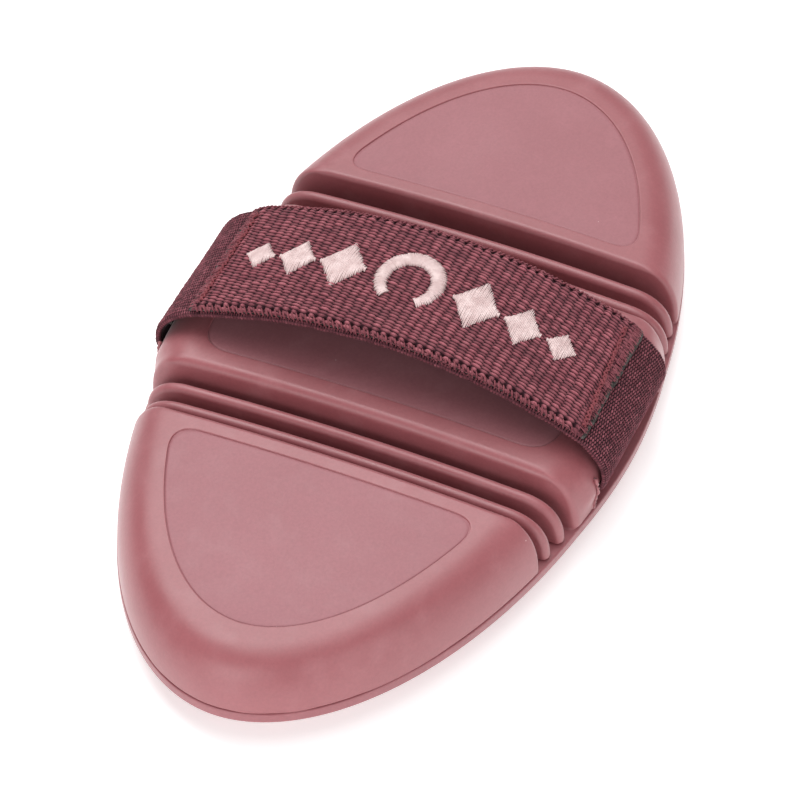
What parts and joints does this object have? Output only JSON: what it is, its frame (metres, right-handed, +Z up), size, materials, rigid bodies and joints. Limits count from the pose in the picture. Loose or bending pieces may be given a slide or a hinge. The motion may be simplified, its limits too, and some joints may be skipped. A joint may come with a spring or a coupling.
{
  "type": "curry comb",
  "caption": "Oval flexible rubber curry comb for horse grooming: ribbed hinge zones, toothed underside and a woven hand strap over the middle pad.",
  "frame": {"origin": "middle of the footprint, in the plane of the tooth tips it stands on", "axes": "+X along the oval from the front pad to the rear pad, +Y across it along the strap, +Z up away from the teeth"},
  "size_m": [0.195, 0.1026, 0.0396],
  "materials": {
    "rubber_rose": "satin, dusty rose",
    "rubber_sole": "satin, dusty rose",
    "band_weave": "fine woven tape, burgundy",
    "webbing_weave": "coarse woven webbing, burgundy",
    "backing_felt": "thin grey-green embroidery backing",
    "hook_tape": "dark hook tape",
    "seam_thread": "red polyester thread",
    "edge_thread": "burgundy polyester thread",
    "satin_thread": "pale pink satin thread"
  },
  "bodies": {
    "centre": {"pad_centre": "rubber_rose", "sole_centre": "rubber_sole", "strap_band": "band_weave", "strap_backing": "backing_felt", "strap_webbing": "webbing_weave", "edge_stitch_rear": "edge_thread", "edge_stitch_front": "edge_thread", "seam_stitch_left": "seam_thread", "seam_stitch_right": "seam_thread", "embroidery_horseshoe": "satin_thread", "embroidery_left_inner": "satin_thread", "embroidery_right_inner": "satin_thread", "embroidery_left_middle": "satin_thread", "embroidery_right_middle": "satin_thread", "embroidery_left_outer": "satin_thread", "embroidery_right_outer": "satin_thread", "hook_tape_left": "hook_tape", "hook_tape_right": "hook_tape"},
    "front_inner_rib": {"rib_front_inner": "rubber_rose", "sole_front_inner": "rubber_sole"},
    "front_outer_rib": {"rib_front_outer": "rubber_rose", "sole_front_outer": "rubber_sole"},
    "front_pad": {"pad_front": "rubber_rose", "sole_front_end": "rubber_sole"},
    "rear_inner_rib": {"rib_rear_inner": "rubber_rose", "sole_rear_inner": "rubber_sole"},
    "rear_outer_rib": {"rib_rear_outer": "rubber_rose", "sole_rear_outer": "rubber_sole"},
    "rear_pad": {"pad_rear": "rubber_rose", "sole_rear_end": "rubber_sole"}
  },
  "joints": [
    {"name": "front_flex_inner", "type": "hinge", "parent": "centre", "child": "front_inner_rib", "pos_m": [-0.0267, 0, 0.0073], "axis": [0, 1, 0], "range_deg": [-15, 10], "stiffness_Nm_per_rad": 1.5},
    {"name": "front_flex_middle", "type": "hinge", "parent": "front_inner_rib", "child": "front_outer_rib", "pos_m": [-0.0319, 0, 0.0073], "axis": [0, 1, 0], "range_deg": [-15, 10], "stiffness_Nm_per_rad": 1.5},
    {"name": "front_flex_outer", "type": "hinge", "parent": "front_outer_rib", "child": "front_pad", "pos_m": [-0.0371, 0, 0.0073], "axis": [0, 1, 0], "range_deg": [-15, 10], "stiffness_Nm_per_rad": 1.5},
    {"name": "rear_flex_inner", "type": "hinge", "parent": "centre", "child": "rear_inner_rib", "pos_m": [0.0267, 0, 0.0073], "axis": [0, -1, 0], "range_deg": [-15, 10], "stiffness_Nm_per_rad": 1.5},
    {"name": "rear_flex_middle", "type": "hinge", "parent": "rear_inner_rib", "child": "rear_outer_rib", "pos_m": [0.0319, 0, 0.0073], "axis": [0, -1, 0], "range_deg": [-15, 10], "stiffness_Nm_per_rad": 1.5},
    {"name": "rear_flex_outer", "type": "hinge", "parent": "rear_outer_rib", "child": "rear_pad", "pos_m": [0.0371, 0, 0.0073], "axis": [0, -1, 0], "range_deg": [-15, 10], "stiffness_Nm_per_rad": 1.5}
  ],
  "couplings": [
    {"joint": "front_flex_middle", "follows": "front_flex_inner", "ratio": 1},
    {"joint": "front_flex_outer", "follows": "front_flex_inner", "ratio": 1},
    {"joint": "rear_flex_middle", "follows": "rear_flex_inner", "ratio": 1},
    {"joint": "rear_flex_outer", "follows": "rear_flex_inner", "ratio": 1}
  ]
}
